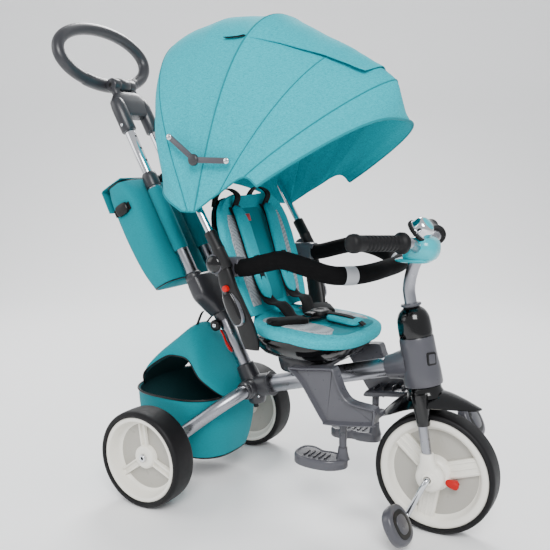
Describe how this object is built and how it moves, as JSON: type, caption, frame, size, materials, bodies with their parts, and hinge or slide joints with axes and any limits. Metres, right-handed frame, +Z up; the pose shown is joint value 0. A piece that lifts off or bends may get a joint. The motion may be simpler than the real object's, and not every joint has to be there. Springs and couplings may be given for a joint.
{
  "type": "children's push tricycle",
  "caption": "Children's push tricycle with a turning seat, folding canopy, bumper bar, fabric luggage and a parent handle.",
  "frame": {"origin": "middle of the bounding box, on the ground", "axes": "+X forward towards the front wheel, +Y to the rider's left, +Z up"},
  "size_m": [1.046, 0.4904, 1.0939],
  "materials": {
    "grey_plastic": "fine matt grain",
    "dark_plastic": "matt",
    "painted_tube": "satin silver",
    "chrome_tube": "polished",
    "black_gloss": "glossy black",
    "tyre_foam": "foam tread",
    "cream_plastic": "satin cream",
    "turquoise_fabric": "melange weave",
    "turquoise_plastic": "gloss",
    "black_fabric": "woven",
    "black_foam": "foam sleeve",
    "red_plastic": "gloss"
  },
  "bodies": {
    "frame": {"main_tube": "painted_tube", "rear_hub": "dark_plastic", "lower_post": "dark_plastic", "axle_tube_left": "painted_tube", "axle_tube_right": "painted_tube", "junction_block": "dark_plastic", "push_tube_left": "painted_tube", "push_tube_right": "painted_tube", "head_shell": "grey_plastic", "head_boot": "black_gloss", "footrest_left": "grey_plastic", "footrest_right": "grey_plastic", "bag": "turquoise_fabric", "basket": "black_fabric"},
    "rear_wheel_left": {"rear_tyre_left": "tyre_foam", "rear_rim_left": "cream_plastic"},
    "rear_wheel_right": {"rear_tyre_right": "tyre_foam", "rear_rim_right": "cream_plastic"},
    "steering": {"fork": "painted_tube", "mudguard": "black_gloss", "fork_end_left": "cream_plastic", "fork_end_right": "cream_plastic", "handlebar": "painted_tube", "grip_left": "black_foam", "grip_right": "black_foam", "bar_cover": "turquoise_plastic", "bell_dome": "chrome_tube"},
    "bell": {"bell_ring": "black_gloss"},
    "front_wheel": {"front_tyre": "tyre_foam", "front_rim": "cream_plastic"},
    "clutch": {"clutch_knob": "red_plastic"},
    "crank": {"crank": "chrome_tube"},
    "pedal_left": {"pedal_left": "grey_plastic"},
    "pedal_right": {"pedal_right": "grey_plastic"},
    "foot_pad_left": {"foot_pad_left": "grey_plastic"},
    "foot_pad_right": {"foot_pad_right": "grey_plastic"},
    "seat": {"seat_shell": "black_gloss", "seat_cushion": "turquoise_fabric", "side_bracket_left": "grey_plastic", "side_bracket_right": "grey_plastic"},
    "backrest": {"back_cushion": "turquoise_fabric", "back_shell": "black_gloss"},
    "armrest": {"armrest_bar": "black_foam", "armrest_socket_left": "dark_plastic", "armrest_socket_right": "dark_plastic"},
    "button_left": {"button_left": "red_plastic"},
    "button_right": {"button_right": "red_plastic"},
    "canopy": {"canopy_post_left": "chrome_tube", "canopy_post_right": "chrome_tube", "canopy_rear": "turquoise_fabric"},
    "canopy_brim": {"canopy_front": "turquoise_fabric"},
    "stay_rear": {"stay_rear_left": "dark_plastic", "stay_rear_right": "dark_plastic"},
    "stay_front": {"stay_front_left": "dark_plastic", "stay_front_right": "dark_plastic"},
    "push_bar": {"inner_tube_left": "chrome_tube", "inner_tube_right": "chrome_tube", "handle_yoke": "dark_plastic"},
    "handle": {"handle_ring": "dark_plastic"},
    "clamp_lever": {"clamp_lever": "black_gloss"}
  },
  "joints": [
    {"name": "rear_wheel_left_spin", "type": "hinge", "parent": "frame", "child": "rear_wheel_left", "pos_m": [-0.194, 0.2137, 0.1096], "axis": [0, 1, 0], "continuous": true},
    {"name": "rear_wheel_right_spin", "type": "hinge", "parent": "frame", "child": "rear_wheel_right", "pos_m": [-0.194, -0.2137, 0.1096], "axis": [0, 1, 0], "continuous": true},
    {"name": "steer", "type": "hinge", "parent": "frame", "child": "steering", "pos_m": [0.4007, 0, 0.127], "axis": [-0.1959, 0, 0.9806], "range_deg": [-20, 20]},
    {"name": "bell_twist", "type": "hinge", "parent": "steering", "child": "bell", "pos_m": [0.354, -0.016, 0.624], "axis": [0.76, 0, 0.65], "range_deg": [0, 40], "stiffness_Nm_per_rad": 0.05},
    {"name": "front_wheel_spin", "type": "hinge", "parent": "steering", "child": "front_wheel", "pos_m": [0.3967, 0, 0.127], "axis": [0, 1, 0], "continuous": true},
    {"name": "clutch_slide", "type": "slide", "parent": "front_wheel", "child": "clutch", "axis": [0, 1, 0], "range_m": [-0.004, 0]},
    {"name": "crank_spin", "type": "hinge", "parent": "steering", "child": "crank", "pos_m": [0.3967, 0, 0.127], "axis": [0, 1, 0], "continuous": true},
    {"name": "pedal_left_spin", "type": "hinge", "parent": "crank", "child": "pedal_left", "pos_m": [0.43236, 0.118, 0.20526], "axis": [0, 1, 0], "continuous": true},
    {"name": "pedal_right_spin", "type": "hinge", "parent": "crank", "child": "pedal_right", "pos_m": [0.36104, -0.118, 0.04874], "axis": [0, 1, 0], "continuous": true},
    {"name": "foot_pad_left_swing", "type": "hinge", "parent": "frame", "child": "foot_pad_left", "pos_m": [0.224, 0.084, 0.14], "axis": [0, 0, 1], "range_deg": [-90, 0]},
    {"name": "foot_pad_right_swing", "type": "hinge", "parent": "frame", "child": "foot_pad_right", "pos_m": [0.224, -0.084, 0.14], "axis": [0, 0, 1], "range_deg": [0, 90]},
    {"name": "seat_swivel", "type": "hinge", "parent": "frame", "child": "seat", "pos_m": [0.076, 0, 0.331], "axis": [0, 0, 1], "range_deg": [0, 180]},
    {"name": "backrest_recline", "type": "hinge", "parent": "seat", "child": "backrest", "pos_m": [0.008, 0, 0.44], "axis": [0, 1, 0], "range_deg": [-20, 0]},
    {"name": "armrest_lift", "type": "hinge", "parent": "seat", "child": "armrest", "pos_m": [-0.019, 0, 0.55], "axis": [0, 1, 0], "range_deg": [-40, 0]},
    {"name": "button_left_press", "type": "slide", "parent": "seat", "child": "button_left", "axis": [0, -1, 0], "range_m": [0, 0.003], "stiffness_N_per_m": 600},
    {"name": "button_right_press", "type": "slide", "parent": "seat", "child": "button_right", "axis": [0, 1, 0], "range_m": [0, 0.003], "stiffness_N_per_m": 600},
    {"name": "canopy_lift", "type": "slide", "parent": "seat", "child": "canopy", "axis": [-0.512, 0, 0.859], "range_m": [0, 0.06]},
    {"name": "canopy_fold", "type": "hinge", "parent": "canopy", "child": "canopy_brim", "pos_m": [-0.076, 0, 0.655], "axis": [0, 1, 0], "range_deg": [-45, 0], "deforming": ["canopy_front"]},
    {"name": "stay_rear_turn", "type": "hinge", "parent": "canopy", "child": "stay_rear", "pos_m": [-0.1133, 0, 0.806], "axis": [0, 1, 0], "range_deg": [0, 50.6]},
    {"name": "stay_front_turn", "type": "hinge", "parent": "stay_rear", "child": "stay_front", "pos_m": [-0.051, 0, 0.76], "axis": [0, 1, 0], "range_deg": [-126.7, 0]},
    {"name": "push_bar_slide", "type": "slide", "parent": "frame", "child": "push_bar", "axis": [-0.4802, 0, 0.8771], "range_m": [-0.11, 0.04]},
    {"name": "handle_tilt", "type": "hinge", "parent": "push_bar", "child": "handle", "pos_m": [-0.43018, 0, 0.93962], "axis": [0, 1, 0], "range_deg": [-45, 20]},
    {"name": "clamp_lever_open", "type": "hinge", "parent": "frame", "child": "clamp_lever", "pos_m": [-0.30772, 0, 0.71595], "axis": [0, 1, 0], "range_deg": [-90, 0]}
  ],
  "couplings": [
    {"joint": "stay_rear_turn", "follows": "canopy_fold", "ratio": -1.103},
    {"joint": "stay_front_turn", "follows": "canopy_fold", "ratio": 2.793}
  ]
}
